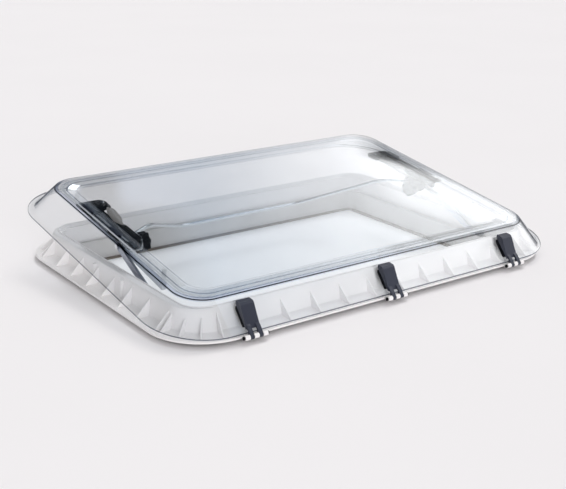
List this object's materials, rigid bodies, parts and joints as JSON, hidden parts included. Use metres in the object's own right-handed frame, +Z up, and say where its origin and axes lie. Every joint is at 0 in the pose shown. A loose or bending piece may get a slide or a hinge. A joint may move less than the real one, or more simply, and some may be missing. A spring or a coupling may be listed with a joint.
{
  "type": "deck hatch",
  "caption": "Ribbed white roof frame with an inner trim frame and a clear double-skinned dome on front hinges, held open by side stays with clamp knobs and a bow handle.",
  "frame": {"origin": "centre of the bounding box at its lowest plane, the underside of the inner trim frame", "axes": "+X along the hinge line, +Y from the hinges to the opening edge, +Z up through the roof"},
  "size_m": [1.09, 0.7846, 0.218],
  "materials": {
    "white_plastic": "satin",
    "beige_plastic": "matte",
    "clear_acrylic": "gloss",
    "slate_plastic": "satin",
    "black_plastic": "satin",
    "black_rubber": "matte",
    "satin_steel": "satin",
    "grey_aluminium": "satin"
  },
  "bodies": {
    "frame": {"roof_seal": "black_rubber", "dome_seal": "black_rubber", "frame_front": "white_plastic", "trim_front": "beige_plastic", "frame_back": "white_plastic", "trim_back": "beige_plastic", "frame_left": "white_plastic", "trim_left": "beige_plastic", "frame_right": "white_plastic", "trim_right": "beige_plastic", "hinge_base_1": "white_plastic", "hinge_base_2": "white_plastic", "hinge_base_3": "white_plastic", "clamp_1": "grey_aluminium", "clamp_screw_1": "satin_steel", "clamp_2": "grey_aluminium", "clamp_screw_2": "satin_steel", "clamp_3": "grey_aluminium", "clamp_screw_3": "satin_steel", "clamp_4": "grey_aluminium", "clamp_screw_4": "satin_steel", "hinge_pin_1": "black_plastic", "hinge_pin_2": "black_plastic", "hinge_pin_3": "black_plastic", "left_pivot_bracket": "satin_steel", "left_pivot_pin": "satin_steel", "right_pivot_bracket": "satin_steel", "right_pivot_pin": "satin_steel"},
    "dome": {"dome_outer": "clear_acrylic", "dome_inner": "clear_acrylic", "hinge_arm_1": "slate_plastic", "hinge_plate_1": "black_plastic", "hinge_arm_2": "slate_plastic", "hinge_plate_2": "black_plastic", "hinge_arm_3": "slate_plastic", "hinge_plate_3": "black_plastic", "left_guide_plate": "black_plastic", "left_guide_rail": "grey_aluminium", "left_rail_post": "clear_acrylic", "left_cap_back": "slate_plastic", "left_cap_front": "slate_plastic", "left_pad_screw": "satin_steel", "right_guide_plate": "black_plastic", "right_guide_rail": "grey_aluminium", "right_rail_post": "clear_acrylic", "right_cap_back": "slate_plastic", "right_cap_front": "slate_plastic", "right_pad_screw": "satin_steel"},
    "stay": {"left_stay_arm": "grey_aluminium", "right_stay_arm": "grey_aluminium"},
    "slider": {"left_slider": "black_plastic", "left_clamp_stud": "satin_steel", "right_slider": "black_plastic", "right_clamp_stud": "satin_steel"},
    "bow": {"bow_tube": "satin_steel", "left_bow_plate": "satin_steel", "right_bow_plate": "satin_steel"},
    "left_knob": {"left_knob": "black_plastic"},
    "right_knob": {"right_knob": "black_plastic"}
  },
  "joints": [
    {"name": "dome_hinge", "type": "hinge", "parent": "frame", "child": "dome", "pos_m": [0, -0.38675, 0.0486], "axis": [1, 0, 0], "range_deg": [-8.79, 41.21]},
    {"name": "stay_pivot", "type": "hinge", "parent": "frame", "child": "stay", "pos_m": [0, -0.17707, 0.04589], "axis": [1, 0, 0], "range_deg": [-17.58, 82.42]},
    {"name": "slider_pivot", "type": "hinge", "parent": "stay", "child": "slider", "pos_m": [0, 0.01157, 0.13749], "axis": [1, 0, 0], "range_deg": [-41.21, 8.79]},
    {"name": "bow_swing", "type": "hinge", "parent": "slider", "child": "bow", "pos_m": [0, 0.01157, 0.13749], "axis": [1, 0, 0], "range_deg": [-10, 14]},
    {"name": "left_knob_turn", "type": "hinge", "parent": "slider", "child": "left_knob", "pos_m": [-0.39375, 0.01157, 0.13749], "axis": [1, 0, 0], "continuous": true},
    {"name": "right_knob_turn", "type": "hinge", "parent": "slider", "child": "right_knob", "pos_m": [0.39375, 0.01157, 0.13749], "axis": [1, 0, 0], "continuous": true}
  ],
  "couplings": [
    {"joint": "stay_pivot", "follows": "dome_hinge", "ratio": 2},
    {"joint": "slider_pivot", "follows": "dome_hinge", "ratio": -1}
  ]
}
